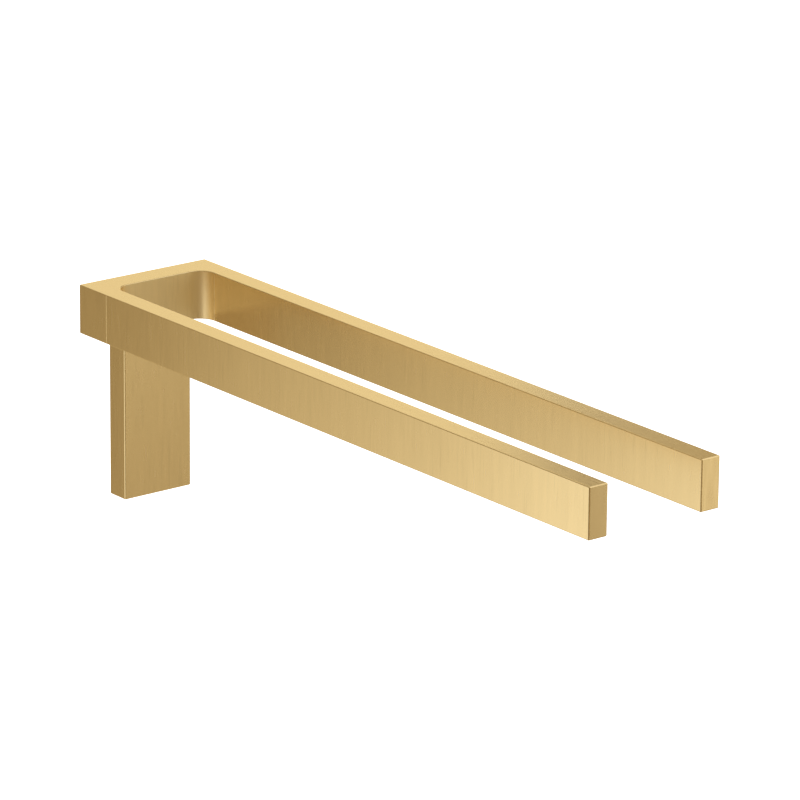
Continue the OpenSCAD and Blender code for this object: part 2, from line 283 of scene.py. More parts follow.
# One card of the light tent: a rectangle between two corners, flat in one axis, whose level
# changes along another axis through some stops of place and level
Card = namedtuple("Card", "name low high axis stops tint")
CARDS = (
    Card("left_softbox", (LEFT, -0.25, -0.09), (LEFT, BACK, 0.08), Y,
         ((-0.25, 0.80), (-0.18, 1.22), (-0.10, 0.94), (-0.03, 0.74), (0.10, 0.61), (0.20, 0.54),
          (0.25, 0.43), (0.30, 0.36), (0.36, 0.36), (BACK, 0.31)), WHITE),
    Card("left_low_softbox", (LEFT, -0.25, BOTTOM), (LEFT, BACK, -0.09), Y,
         ((-0.25, 0.80), (-0.18, 1.25), (-0.10, 1.07), (0.00, 0.87), (0.10, 0.72), (0.20, 0.62),
          (0.27, 0.55), (0.31, 0.41), (0.36, 0.37), (0.45, 0.35), (BACK, 0.31)), WHITE),
    Card("left_fill", (LEFT, -0.75, BOTTOM), (LEFT, -0.25, -0.05), Y,
         ((-0.75, 0.42), (-0.60, 0.46), (-0.50, 0.44), (-0.42, 0.30), (-0.34, 0.36), (-0.25, 0.75)), COOL),
    Card("left_front_card", (LEFT, FRONT, BOTTOM), (LEFT, -0.75, -0.05), Y,
         ((FRONT, 0.20), (-0.88, 0.25), (-0.75, 0.50)), WHITE),
    Card("left_dark_card", (LEFT, FRONT, -0.05), (LEFT, -0.25, 0.08), Y,
         ((FRONT, 0.20), (-0.25, 0.20)), WHITE),
    Card("left_high_card", (LEFT, FRONT, 0.08), (LEFT, BACK, TOP), Y,
         ((FRONT, 0.35), (BACK, 0.30)), WHITE),
    Card("back_card", (LEFT, BACK, 0.08), (RIGHT, BACK, TOP), X,
         ((LEFT, 0.75), (0.00, 0.70), (0.40, 0.90), (RIGHT, 0.95)), WHITE),
    Card("back_low_card", (LEFT, BACK, BOTTOM), (RIGHT, BACK, 0.08), X,
         ((LEFT, 0.60), (RIGHT, 0.80)), COOL),
    Card("right_foot_card", (RIGHT, FRONT, BOTTOM), (RIGHT, BACK, 0.08), Y,
         ((FRONT, 0.30), (0.20, 0.75), (BACK, 1.10)), COOL),
    Card("right_card", (RIGHT, FRONT, 0.08), (RIGHT, BACK, 0.45), Y,
         ((FRONT, 0.75), (0.20, 0.75), (0.50, 0.90), (BACK, 1.70)), MILD),
    Card("right_high_card", (RIGHT, FRONT, 0.45), (RIGHT, BACK, TOP), Y,
         ((FRONT, 0.85), (0.10, 0.55), (BACK, 0.10)), WHITE),
    Card("front_low_card", (LEFT, FRONT, BOTTOM), (RIGHT, FRONT, -0.05), X,
         ((LEFT, 0.38), (0.20, 0.30), (0.45, 0.10), (0.55, 1.35), (0.70, 0.62), (RIGHT, 0.42)), WARM),
    Card("front_high_card", (LEFT, FRONT, -0.05), (RIGHT, FRONT, TOP), X,
         ((LEFT, 0.65), (0.10, 0.55), (0.60, 1.05), (RIGHT, 0.85)), WHITE),
    Card("floor_front_card", (LEFT, FRONT, BOTTOM), (RIGHT, -0.30, BOTTOM), X,
         ((LEFT, 0.25), (0.10, 0.45), (RIGHT, 0.50)), WHITE),
    Card("floor_back_card", (LEFT, -0.30, BOTTOM), (RIGHT, BACK, BOTTOM), X,
         ((LEFT, 0.50), (RIGHT, 0.80)), WHITE),
    Card("top_front_card", (LEFT, FRONT, TOP), (RIGHT, 0.20, TOP), X,
         ((LEFT, 0.70), (RIGHT, 1.10)), WHITE),
    Card("top_back_card", (LEFT, 0.20, TOP), (RIGHT, BACK, TOP), X,
         ((LEFT, 0.85), (RIGHT, 0.40)), WHITE),
)
# Colour of the light at level 1, and the power of the level with which each channel fades, so that
# dim cards are warmer
FULL_LIGHT = (1.0, 0.91, 0.69)
LIGHT_FADE = (1.0, 1.19, 1.58)


def settings(group):
    """One of the three groups of settings in the scene."""
    return getattr(bpy.context.scene, "towel_holder_" + group)


def new_object(name, bm):
    """Turns a bmesh into an object of the scene, with its faces pointing outwards."""
    bmesh.ops.recalc_face_normals(bm, faces=bm.faces)
    mesh = bpy.data.meshes.new(name)
    bm.to_mesh(mesh)
    bm.free()
    made = bpy.data.objects.new(name, mesh)
    bpy.context.scene.collection.objects.link(made)
    return made


def add_block(bm, low, high):
    """Adds a box between two corners and returns its vertices."""
    low, high = Vector(low), Vector(high)
    verts = bmesh.ops.create_cube(bm, size=1)["verts"]
    bmesh.ops.scale(bm, vec=high - low, verts=verts)
    bmesh.ops.translate(bm, vec=(low + high) / 2, verts=verts)
    return verts


def add_prism(bm, corners, along):
    """Adds the solid that a flat outline of corners sweeps when it moves along a vector."""
    base = bm.faces.new([bm.verts.new(corner) for corner in corners])
    moved = bmesh.ops.extrude_face_region(bm, geom=[base], use_keep_orig=True)["geom"]
    verts = [item for item in moved if isinstance(item, bmesh.types.BMVert)]
    bmesh.ops.translate(bm, vec=along, verts=verts)


def add_cylinder(bm, start, axis, diameter, length, end_diameter=None):
    """Adds a closed cylinder or cone that runs from a point along an axis."""
    end_diameter = diameter if end_diameter is None else end_diameter
    turn = UP.rotation_difference(Vector(axis)).to_matrix().to_4x4()
    place = Matrix.Translation(Vector(start) + Vector(axis) * length / 2) @ turn
    bmesh.ops.create_cone(bm, cap_ends=True, segments=HOLE_SEGMENTS, radius1=diameter / 2,
                          radius2=end_diameter / 2, depth=length, matrix=place)


def round_corners(bm, edges, radius, steps):
    """Rounds some edges of a bmesh to a radius, with a number of faces across each of them."""
    bmesh.ops.bevel(bm, geom=edges, offset=radius, offset_type="OFFSET", segments=steps, profile=0.5,
                    affect="EDGES", material=-1)


def carve(target, cutters, operation="DIFFERENCE"):
    """Cuts closed shapes, held in a bmesh, out of an object, or adds them to it."""
    tool = new_object("cutter", cutters)
    modifier = target.modifiers.new("carve", "BOOLEAN")
    modifier.operation = operation
    modifier.solver = "EXACT"
    modifier.use_self = True
    modifier.object = tool
    depsgraph = bpy.context.evaluated_depsgraph_get()
    old = target.data
    target.data = bpy.data.meshes.new_from_object(target.evaluated_get(depsgraph))
    target.data.name = target.name
    target.modifiers.clear()
    bpy.data.meshes.remove(old)
    bpy.data.objects.remove(tool)


def near(first, second):
    """Whether two places on an axis are the same but for rounding."""
    return abs(first - second) < TOLERANCE


def in_plane(edge, axis, value):
    """Whether both ends of an edge lie in a plane square to an axis."""
    return all(near(vert.co[axis], value) for vert in edge.verts)


def runs_back(edge):
    """Whether an edge of a box runs from its front to its back."""
    return abs(edge.verts[0].co.y - edge.verts[1].co.y) > OVERSHOOT


def round_edges(target, radius, share):
    """Rounds the sharp edges of an object: share(edge) is the part of the radius that an edge gets."""
    bm = bmesh.new()
    bm.from_mesh(target.data)
    bmesh.ops.remove_doubles(bm, verts=bm.verts, dist=MERGE_DISTANCE)
    layers = bm.edges.layers.float
    weights = layers.get("bevel_weight_edge") or layers.new("bevel_weight_edge")
    for edge in bm.edges:
        if len(edge.link_faces) == 2 and edge.calc_face_angle() > SHARP_ANGLE:
            edge[weights] = share(edge)
            edge.smooth = edge[weights] > 0
    for face in bm.faces:
        face.smooth = True
    bm.to_mesh(target.data)
    bm.free()
    modifier = target.modifiers.new("edges", "BEVEL")
    modifier.width = radius
    modifier.segments = settings("sizes").round_steps
    modifier.limit_method = "WEIGHT"
    modifier.use_clamp_overlap = False
    modifier.harden_normals = True


def seam_share(edge):
    """Part of the edge radius that an edge of the joint between an arm and the head gets."""
    sizes = settings("sizes")
    level = near(edge.verts[0].co.z, edge.verts[1].co.z)
    return (sizes.flush_radius if level else sizes.seam_radius) / sizes.edge_radius


def finish_piece(piece, material, node):
    """Gives a piece its material and its place in the frame."""
    piece.data.materials.clear()
    piece.data.materials.append(material)
    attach(piece, BODY)
    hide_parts(node)


def cut_dowel_holes(cutters, node, axis):
    """Adds holes a little longer than a node's two dowels, which stand along an axis."""
    low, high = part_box(node)
    size = high - low
    across, spread = sorted((k for k in (X, Y, Z) if k != axis), key=lambda k: size[k])
    diameter, length = size[across], size[axis]
    gap = settings("sizes").thread_gap
    along = Vector([1 if k == axis else 0 for k in (X, Y, Z)])
    for place in (low[spread] + diameter / 2, high[spread] - diameter / 2):
        middle = (low + high) / 2
        middle[spread] = place
        start = middle - along * (length / 2 + gap)
        add_cylinder(cutters, start, along, diameter + 2 * gap, length + 2 * gap)


def arm_screw_axis(side):
    """Point on the wall plane behind an arm's screw."""
    low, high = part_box(side + "_arm_screw")
    return Vector(((low.x + high.x) / 2, HEAD_HIGH.y, (low.z + high.z) / 2))


def post_screw_places():
    """Points on the axes of the left and right post screw, in their heads' lower faces."""
    low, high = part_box("post_screws")
    head = high.y - low.y
    return [Vector((x, (low.y + high.y) / 2, low.z)) for x in (low.x + head / 2, high.x - head / 2)]


class TOWELHOLDER_OT_head(bpy.types.Operator):
    """Model the U-shaped head that carries both arms"""

    bl_idname = "towel_holder.head"
    bl_label = "Head"

    def execute(self, context):
        sizes = settings("sizes")
        piece = new_object("head_block", self.pocket_block())
        carve(piece, self.arm_screw_sinks())
        carve(piece, self.screw_and_dowel_holes())
        rim = sizes.rim_radius / sizes.edge_radius

        def share(edge):
            """Part of the edge radius that an edge gets."""
            outer = [near(abs(vert.co.x), HEAD_HIGH.x) or near(vert.co.z, HEAD_LOW.z)
                     or near(vert.co.z, HEAD_HIGH.z) for vert in edge.verts]
            if in_plane(edge, Y, HEAD_LOW.y):
                return seam_share(edge) if any(outer) or near(abs(edge.verts[0].co.x), HALF_GAP) else 0
            if in_plane(edge, Y, HEAD_HIGH.y):
                return 1 if all(outer) else rim
            return 1 if all(outer) and not self.on_hidden_hole(edge) else 0

        round_edges(piece, sizes.edge_radius, share)
        finish_piece(piece, brushed_brass(), "yoke")
        return {"FINISHED"}

    def pocket_block(self):
        """The block with its pocket, which is open to the front between the arms."""
        sizes = settings("sizes")
        back = HEAD_HIGH.y - sizes.back_wall
        outline = ((HEAD_LOW.x, HEAD_HIGH.y), (HEAD_LOW.x, HEAD_LOW.y), (-HALF_GAP, HEAD_LOW.y),
                   (-HALF_GAP, back), (HALF_GAP, back), (HALF_GAP, HEAD_LOW.y),
                   (HEAD_HIGH.x, HEAD_LOW.y), (HEAD_HIGH.x, HEAD_HIGH.y))
        bm = bmesh.new()
        add_prism(bm, [(x, y, HEAD_LOW.z) for x, y in outline], UP * (HEAD_HIGH.z - HEAD_LOW.z))
        # A short straight stretch is left in front of each round corner for the joint's broken edge
        radius = min(sizes.corner_radius, back - HEAD_LOW.y - SEAM_STRETCH * sizes.seam_radius)
        inner = [edge for edge in bm.edges
                 if in_plane(edge, Y, back) and near(edge.verts[0].co.x, edge.verts[1].co.x)]
        round_corners(bm, inner, radius, POCKET_STEPS)
        return bm

    def arm_screw_sinks(self):
        """Cutters for the sinks in the head's back, which take the arm screws' heads and washers."""
        bm = bmesh.new()
        for side in SIDES:
            low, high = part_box(side + "_arm_lock_washer")
            sink = high.x - low.x + 2 * settings("sizes").hole_gap
            start = arm_screw_axis(side) - FORWARD * OVERSHOOT
            add_cylinder(bm, start, FORWARD, sink, OVERSHOOT - low.y)
        return bm

    def screw_and_dowel_holes(self):
        """Cutters for the arm screws' plain holes, and the close ones of the post screws and dowels."""
        sizes = settings("sizes")
        bm = bmesh.new()
        for side in SIDES:
            start = arm_screw_axis(side) - FORWARD * OVERSHOOT
            add_cylinder(bm, start, FORWARD, sizes.screw + 2 * sizes.hole_gap,
                         2 * OVERSHOOT - HEAD_LOW.y)
            cut_dowel_holes(bm, side + "_arm_dowels", Y)
        cut_dowel_holes(bm, "post_dowels", Z)
        screw_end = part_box("post_screws")[1].z
        for place in post_screw_places():
            start = Vector((place.x, place.y, HEAD_LOW.z - OVERSHOOT))
            add_cylinder(bm, start, UP, sizes.screw + 2 * sizes.thread_gap,
                         screw_end - HEAD_LOW.z + 2 * OVERSHOOT)
        return bm

    def on_hidden_hole(self, edge):
        """Whether an edge is on the rim of a hole in the head's underside, which the post covers."""
        return in_plane(edge, Z, HEAD_LOW.z) and all(
            HEAD_LOW.y / 2 < vert.co.y < -OVERSHOOT and abs(vert.co.x) < POST_HIGH.x
            for vert in edge.verts)


class TOWELHOLDER_OT_arms(bpy.types.Operator):
    """Model the two flat arms"""

    bl_idname = "towel_holder.arms"
    bl_label = "Arms"

    def execute(self, context):
        for side in SIDES:
            self.make_arm(side)
        return {"FINISHED"}

    def make_arm(self, side):
        """One bar with its blind holes in the end at the head."""
        sizes = settings("sizes")
        low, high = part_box(side + "_arm")
        bm = bmesh.new()
        add_block(bm, low, high)
        piece = new_object(side + "_bar", bm)
        cutters = bmesh.new()
        screw_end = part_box(side + "_arm_screw")[0].y
        start = arm_screw_axis(side)
        start.y = high.y + OVERSHOOT
        add_cylinder(cutters, start, FORWARD, sizes.screw + 2 * sizes.thread_gap,
                     start.y - screw_end + OVERSHOOT)
        cut_dowel_holes(cutters, side + "_arm_dowels", Y)
        carve(piece, cutters)

        def share(edge):
            """Part of the edge radius that an edge gets."""
            inner = [low.x + TOLERANCE < vert.co.x < high.x - TOLERANCE for vert in edge.verts]
            if in_plane(edge, Y, high.y):
                return 0 if all(inner) else seam_share(edge)
            return 0 if any(inner) else 1

        round_edges(piece, sizes.edge_radius, share)
        finish_piece(piece, brushed_brass(), side + "_arm")


class TOWELHOLDER_OT_post(bpy.types.Operator):
    """Model the upright post, a cover with an open back"""

    bl_idname = "towel_holder.post"
    bl_label = "Wall post"

    def execute(self, context):
        sizes = settings("sizes")
        bm = bmesh.new()
        add_block(bm, POST_LOW, POST_HIGH)
        piece = new_object("post_cover", bm)
        recess_x = POST_HIGH.x - sizes.side_wall
        recess_top = POST_HIGH.z - sizes.post_top
        carve(piece, self.recess(recess_x, recess_top))
        carve(piece, self.hooks(recess_x, recess_top), "UNION")
        carve(piece, self.screw_sinks(recess_top))
        carve(piece, self.screw_and_dowel_holes(recess_top))
        rim = sizes.rim_radius / sizes.post_edge_radius

        def share(edge):
            """Part of the edge radius that an edge gets."""
            ends = [vert.co for vert in edge.verts]
            outer = all(near(abs(co.x), POST_HIGH.x) or near(co.y, POST_LOW.y)
                        or near(co.z, POST_LOW.z) for co in ends)
            if in_plane(edge, Z, POST_HIGH.z):
                return 0
            if in_plane(edge, Y, POST_HIGH.y):
                return rim
            if in_plane(edge, Z, POST_LOW.z) and all(abs(co.x) < sizes.screw for co in ends):
                return 0
            return 1 if outer else 0

        round_edges(piece, sizes.post_edge_radius, share)
        finish_piece(piece, brushed_brass(), "wall_post")
        return {"FINISHED"}

    def recess(self, recess_x, recess_top):
        """Cutter for the recess, which is open to the wall and has round corners."""
        sizes = settings("sizes")
        bm = bmesh.new()
        add_block(bm, (-recess_x, POST_LOW.y + sizes.front_wall, POST_LOW.z + sizes.post_bottom),
                  (recess_x, OVERSHOOT, recess_top))
        corners = [edge for edge in bm.edges if runs_back(edge)]
        round_corners(bm, corners, sizes.recess_radius, RECESS_STEPS)
        return bm

    def hooks(self, recess_x, recess_top):
        """The two hooks that hang over the plate's bevelled upper edge."""
        sizes = settings("sizes")
        low = PLATE_HIGH.z - sizes.hook_bevel + sizes.seat_gap
        outline = ((0, low), (0, recess_top + OVERSHOOT), (-sizes.hook_bevel, recess_top + OVERSHOOT),
                   (-sizes.hook_bevel, low + sizes.hook_bevel))
        bm = bmesh.new()
        for side in (-1, 1):
            inner = side * (recess_x - sizes.hook_width)
            outer = side * (recess_x + sizes.side_wall / 2)
            add_prism(bm, [(inner, y, z) for y, z in outline], (outer - inner, 0, 0))
        return bm

    def screw_sinks(self, recess_top):
        """Cutters for the sinks of the post screws' heads, open to the recess."""
        low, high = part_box("post_lock_washers")
        sink = high.y - low.y + 2 * settings("sizes").hole_gap
        bm = bmesh.new()
        for place in post_screw_places():
            start = Vector((place.x, place.y, recess_top - OVERSHOOT))
            add_cylinder(bm, start, UP, sink, high.z - start.z)
        return bm

    def screw_and_dowel_holes(self, recess_top):
        """Cutters for the post screws' holes, the clamp screw's hole with its lead-in, and the dowels'."""
        sizes = settings("sizes")
        bm = bmesh.new()
        for place in post_screw_places():
            start = Vector((place.x, place.y, recess_top))
            add_cylinder(bm, start, UP, sizes.screw + 2 * sizes.hole_gap,
                         POST_HIGH.z + OVERSHOOT - recess_top)
        low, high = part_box("clamp_screw")
        start = Vector(((low.x + high.x) / 2, (low.y + high.y) / 2, POST_LOW.z - OVERSHOOT))
        hole = high.x - low.x + 2 * sizes.thread_gap
        add_cylinder(bm, start, UP, hole, sizes.post_bottom + 2 * OVERSHOOT)
        wide = hole + 2 * (LEAD_IN * (high.x - low.x) + OVERSHOOT)
        narrow = LEAD_IN_END * hole
        add_cylinder(bm, start, UP, wide, (wide - narrow) / 2, end_diameter=narrow)
        cut_dowel_holes(bm, "post_dowels", Z)
        return bm


class TOWELHOLDER_OT_plate(bpy.types.Operator):
    """Model the plate that is screwed to the wall behind the post"""

    bl_idname = "towel_holder.plate"
    bl_label = "Wall plate"

    def execute(self, context):
        sizes = settings("sizes")
        bm = bmesh.new()
        add_block(bm, PLATE_LOW, PLATE_HIGH)
        corners = [edge for edge in bm.edges if runs_back(edge)]
        round_corners(bm, corners, sizes.plate_radius, PLATE_STEPS)
        piece = new_object("wall_plate", bm)
        carve(piece, self.bevel_wedges())
        thickness = PLATE_HIGH.y - PLATE_LOW.y
        carve(piece, self.wall_screw_bores(sizes.wall_sink, sizes.wall_sink_depth))
        carve(piece, self.wall_screw_bores(sizes.wall_hole, thickness + OVERSHOOT))
        round_edges(piece, sizes.rim_radius, lambda edge: 1)
        finish_piece(piece, blasted_steel(), "wall_bracket")
        return {"FINISHED"}

    def bevel_wedges(self):
        """Cutters that leave the 45 degree bevels behind the plate's two ends."""
        bevel = settings("sizes").hook_bevel
        left = PLATE_LOW.x - OVERSHOOT
        width = PLATE_HIGH.x - PLATE_LOW.x + 2 * OVERSHOOT
        bm = bmesh.new()
        for end, side in ((PLATE_LOW.z, -1), (PLATE_HIGH.z, 1)):
            outline = ((OVERSHOOT, end - side * (bevel + OVERSHOOT)), (OVERSHOOT, end + side * OVERSHOOT),
                       (-bevel - OVERSHOOT, end + side * OVERSHOOT))
            add_prism(bm, [(left, y, z) for y, z in outline], (width, 0, 0))
        return bm

    def wall_screw_bores(self, diameter, depth):
        """Cutters of one diameter and depth, from the plate's front, for both wall screws."""
        hole_z = min(PLATE_HIGH.z, -PLATE_LOW.z) - settings("sizes").wall_hole_edge
        bm = bmesh.new()
        for z in (-hole_z, hole_z):
            add_cylinder(bm, (0, PLATE_LOW.y - OVERSHOOT, z), -FORWARD, diameter, depth + OVERSHOOT)
        return bm


def turned_part(bm, outline):
    """Spins an outline of radii and heights, from pole to pole, round the Z axis."""
    verts = [bm.verts.new((radius, 0, height)) for radius, height in outline]
    edges = [bm.edges.new(pair) for pair in zip(verts, verts[1:])]
    bmesh.ops.spin(bm, geom=verts + edges, cent=(0, 0, 0), axis=UP, angle=2 * pi, steps=THREAD_STEPS,
                   use_merge=True, use_duplicate=False)
    bmesh.ops.remove_doubles(bm, verts=bm.verts, dist=MERGE_DISTANCE)


def cut_thread(bm, radius, low, high):
    """Sinks a helical groove into the shank of a turned part between two heights."""
    pitch = settings("sizes").thread_pitch
    depth = THREAD_DEPTH * pitch
    for vert in bm.verts:
        if low < vert.co.z < high and near(vert.co.xy.length, radius):
            turn = vert.co.xy.angle_signed(Vector((1, 0))) / (2 * pi)
            phase = (vert.co.z / pitch - turn) % 1
            fade = min(1, (vert.co.z - low) / pitch, (high - vert.co.z) / pitch)
            shrink = 1 - fade * depth * (1 - abs(2 * phase - 1)) / radius
            vert.co.x *= shrink
            vert.co.y *= shrink


def thread_rings(low, high):
    """Heights of the rings that a thread needs between two heights."""
    count = round((high - low) / settings("sizes").thread_pitch * RINGS_PER_TURN)
    return [low + (high - low) * step / count for step in range(count + 1)]


def hex_socket(key, bottom, mouth):
    """Closed cutter for a hexagonal socket along Z from its bottom to past its mouth."""
    bm = bmesh.new()
    place = Matrix.Translation((0, 0, (bottom + mouth) / 2))
    corner = key / 2 / cos(pi / 6)
    bmesh.ops.create_cone(bm, cap_ends=True, segments=6, radius1=corner, radius2=corner,
                          depth=abs(mouth - bottom), matrix=place)
    return bm


def cap_screw(name, length):
    """Socket-head screw along +Z, with its head below z = 0."""
    sizes = settings("sizes")
    radius, head = sizes.screw / 2, sizes.head_height
    head_radius = CAP_RADIUS * sizes.screw
    edge = CAP_EDGE * sizes.screw
    chamfer = SHANK_CHAMFER * sizes.screw
    plain = PLAIN_TURNS * sizes.thread_pitch
    bm = bmesh.new()
    outline = [(0, -head), (head_radius - edge, -head), (head_radius, edge - head), (head_radius, 0),
               (radius, 0)]
    outline += [(radius, z) for z in thread_rings(plain, length - chamfer)]
    outline += [(radius - chamfer, length), (0, length)]
    turned_part(bm, outline)
    cut_thread(bm, radius, plain, length - chamfer)
    piece = new_object(name, bm)
    carve(piece, hex_socket(CAP_KEY * sizes.screw, KEY_DEPTH * sizes.screw - head, -head - OVERSHOOT))
    return piece


def place_screw(piece, matrix):
    """Moves a screw's mesh to its place, and gives it smooth sides and sharp rims."""
    piece.data.transform(matrix)
    for polygon in piece.data.polygons:
        polygon.use_smooth = True
    piece.data.set_sharp_from_angle(angle=SHARP_ANGLE)


class TOWELHOLDER_OT_screws(bpy.types.Operator):
    """Model the socket-head screws of the arms and the post"""

    bl_idname = "towel_holder.screws"
    bl_label = "Socket-head screws"

    def execute(self, context):
        sizes = settings("sizes")
        for side in SIDES:
            low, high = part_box(side + "_arm_screw")
            seat = Vector(((low.x + high.x) / 2, high.y - sizes.head_height, (low.z + high.z) / 2))
            piece = cap_screw(side + "_bar_screw", seat.y - low.y)
            place_screw(piece, Matrix.Translation(seat) @ TO_FRONT)
            finish_piece(piece, turned_steel(), side + "_arm_screw")
        low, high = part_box("post_screws")
        seat_z = low.z + sizes.head_height
        for side, place in zip(SIDES, post_screw_places()):
            piece = cap_screw(side + "_post_screw", high.z - seat_z)
            place_screw(piece, Matrix.Translation((place.x, place.y, seat_z)))
            finish_piece(piece, turned_steel(), "post_screws")
        return {"FINISHED"}


class TOWELHOLDER_OT_clamp_screw(bpy.types.Operator):
    """Model the cone-point screw in the post's underside"""

    bl_idname = "towel_holder.clamp_screw"
    bl_label = "Clamp screw"

    def execute(self, context):
        low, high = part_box("clamp_screw")
        diameter, length = high.x - low.x, high.z - low.z
        radius = diameter / 2
        lead_in = LEAD_IN * diameter
        cone = length - radius
        bm = bmesh.new()
        outline = [(0, 0), (radius - lead_in, 0)]
        outline += [(radius, z) for z in thread_rings(lead_in, cone)]
        outline += [(0, length)]
        turned_part(bm, outline)
        cut_thread(bm, radius, lead_in, cone)
        piece = new_object("clamp_set_screw", bm)
        carve(piece, hex_socket(SET_KEY * diameter, KEY_DEPTH * diameter, -OVERSHOOT))
        place_screw(piece, Matrix.Translation(((low.x + high.x) / 2, (low.y + high.y) / 2, low.z)))
        finish_piece(piece, turned_steel(), "clamp_screw")
        return {"FINISHED"}


class TOWELHOLDER_OT_small_parts(bpy.types.Operator):
    """Finish the lock washers and dowels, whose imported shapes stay"""

    bl_idname = "towel_holder.small_parts"
    bl_label = "Washers and dowels"

    def execute(self, context):
        steel = turned_steel()
        for name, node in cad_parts.items():
            if name.endswith(("washer", "washers", "dowels")):
                for material_slot in node.material_slots:
                    material_slot.material = steel
        return {"FINISHED"}


# Upward or downward part of a face's normal, from 0 to 1, above which the face counts as level
LEVEL_FACE = 0.7
# Noises of the brushed brass, in strokes: its fine strokes, its broad bands and its few single strokes
FINE_STROKES = {"Scale": 1.0, "Detail": 2.5, "Roughness": 0.55}
BROAD_BANDS = {"Scale": 0.3, "Detail": 1.0}
SINGLE_STROKES = {"Scale": 0.8, "Detail": 0.0, "W": 7.0}
# Values of the last noise at which a single stroke starts to show and shows in full
SINGLE_START = 0.66
SINGLE_FULL = 0.78
# Tone of the level faces, from that of the darkest stroke at 0 to that of the lightest at 1
LEVEL_TONE = 0.5
# Usual lowest and highest value of the noise of the strokes, and of the steels' grain
STROKE_RANGE = (0.25, 0.75)
GRAIN_RANGE = (0.3, 0.7)
# Spread of the brass's roughness to both sides of its mean
BRASS_SPREAD = 0.03
# Grain of a stainless steel: cells in a metre, detail, difference of tone and of roughness to both
# sides of the mean, and depth in the surface
Grain = namedtuple("Grain", "scale detail tone spread depth")
BLASTED_GRAIN = Grain(2500.0, 3.0, 0.1, 0.05, 0.00002)
TURNED_GRAIN = Grain(4000.0, 2.0, 0.08, 0.04, 0)


def new_metal(name):
    """Metallic material, its node tree and its Principled shader."""
    material = bpy.data.materials.new(name)
    material.use_nodes = True
    tree = material.node_tree
    shader = tree.nodes["Principled BSDF"]
    shader.inputs["Metallic"].default_value = 1
    return material, tree, shader


def empty_tree(owner):
    """Node tree of a material or a world, without the nodes that it starts with."""
    owner.use_nodes = True
    owner.node_tree.nodes.clear()
    return owner.node_tree


def add_node(tree, kind, inputs=None, **options):
    """Adds a node, sets its options, and sets or links its inputs."""
    node = tree.nodes.new(kind)
    for option, value in options.items():
        setattr(node, option, value)
    for key, value in (inputs or {}).items():
        if isinstance(value, bpy.types.NodeSocket):
            tree.links.new(value, node.inputs[key])
        else:
            node.inputs[key].default_value = value
    return node


def maths(tree, operation, *values, clamped=False):
    """Result of an operation on one to three numbers."""
    return add_node(tree, "ShaderNodeMath", dict(enumerate(values)), operation=operation,
                    use_clamp=clamped).outputs[0]


def product(tree, first, second):
    """Two vectors or colours multiplied part by part."""
    return add_node(tree, "ShaderNodeVectorMath", {0: first, 1: second}, operation="MULTIPLY").outputs[0]


def remapped(tree, value, start, end, first, last):
    """A number that runs from first to last while a value runs from start to end."""
    return add_node(tree, "ShaderNodeMapRange", {0: value, 1: start, 2: end, 3: first, 4: last}).outputs[0]


def noise(tree, place, inputs, dimensions="3D"):
    """Noise between 0 and 1 at a place."""
    return add_node(tree, "ShaderNodeTexNoise", {"Vector": place, **inputs},
                    noise_dimensions=dimensions).outputs[0]


def mix_colours(tree, share, low, high):
    """Mixes two colours by a share from 0 to 1."""
    return add_node(tree, "ShaderNodeMix", {"Factor": share, 6: [*low, 1], 7: [*high, 1]},
                    data_type="RGBA").outputs[2]


def object_axes(tree):
    """Object coordinates, one output for each axis."""
    place = add_node(tree, "ShaderNodeTexCoord").outputs["Object"]
    return add_node(tree, "ShaderNodeSeparateXYZ", {0: place}).outputs


def add_bump(tree, shader, height, depth):
    """Gives the surface bumps of a depth, from a height between 0 and 1."""
    bump = add_node(tree, "ShaderNodeBump", {"Strength": 1.0, "Distance": depth, "Height": height})
    tree.links.new(bump.outputs[0], shader.inputs["Normal"])


def tones(colour, spread):
    """A colour made darker and lighter by a share, with no channel above 1."""
    return [[min(1, channel * factor) for channel in colour] for factor in (1 - spread, 1 + spread)]


def stroke_space(tree, width, length):
    """Object coordinates counted in strokes, and whether the face is level.

    The strokes stand upright on the sides and run along the arms on level faces.
    """
    place = add_node(tree, "ShaderNodeTexCoord")
    upright = product(tree, place.outputs["Object"], (1 / width, 1 / width, 1 / length))
    lying = product(tree, place.outputs["Object"], (1 / width, 1 / length, 1 / width))
    facing = add_node(tree, "ShaderNodeSeparateXYZ", {0: place.outputs["Normal"]})
    levelness = maths(tree, "ABSOLUTE", facing.outputs["Z"])
    is_level = maths(tree, "GREATER_THAN", levelness, LEVEL_FACE)
    space = add_node(tree, "ShaderNodeMix", {"Factor": is_level, 4: upright, 5: lying}, data_type="VECTOR")
    return space.outputs[1], is_level


def in_pocket(tree, is_level):
    """Two shares of the pocket: one for its rougher milled upright walls, and one for its flat wall only,
    which gets painted light and more roughness.
    """
    sizes = settings("sizes")
    margin = sizes.edge_radius / 2
    front, back = HEAD_LOW.y - margin, HEAD_HIGH.y - sizes.back_wall + margin
    axes = object_axes(tree)
    across = maths(tree, "COMPARE", axes["X"], 0.0, HALF_GAP + margin)
    along = maths(tree, "COMPARE", axes["Y"], (front + back) / 2, (back - front) / 2)
    inside = maths(tree, "MULTIPLY", across, along)
    milled = maths(tree, "SUBTRACT", inside, is_level, clamped=True)
    # The flat wall's painted light and its extra roughness fade out over the first half of each round
    # corner
    flat_end, fade = HALF_GAP - sizes.corner_radius, sizes.corner_radius / 2
    flat = remapped(tree, maths(tree, "ABSOLUTE", axes["X"]), flat_end, flat_end + fade, 1.0, 0.0)
    return milled, maths(tree, "MULTIPLY", flat, milled)


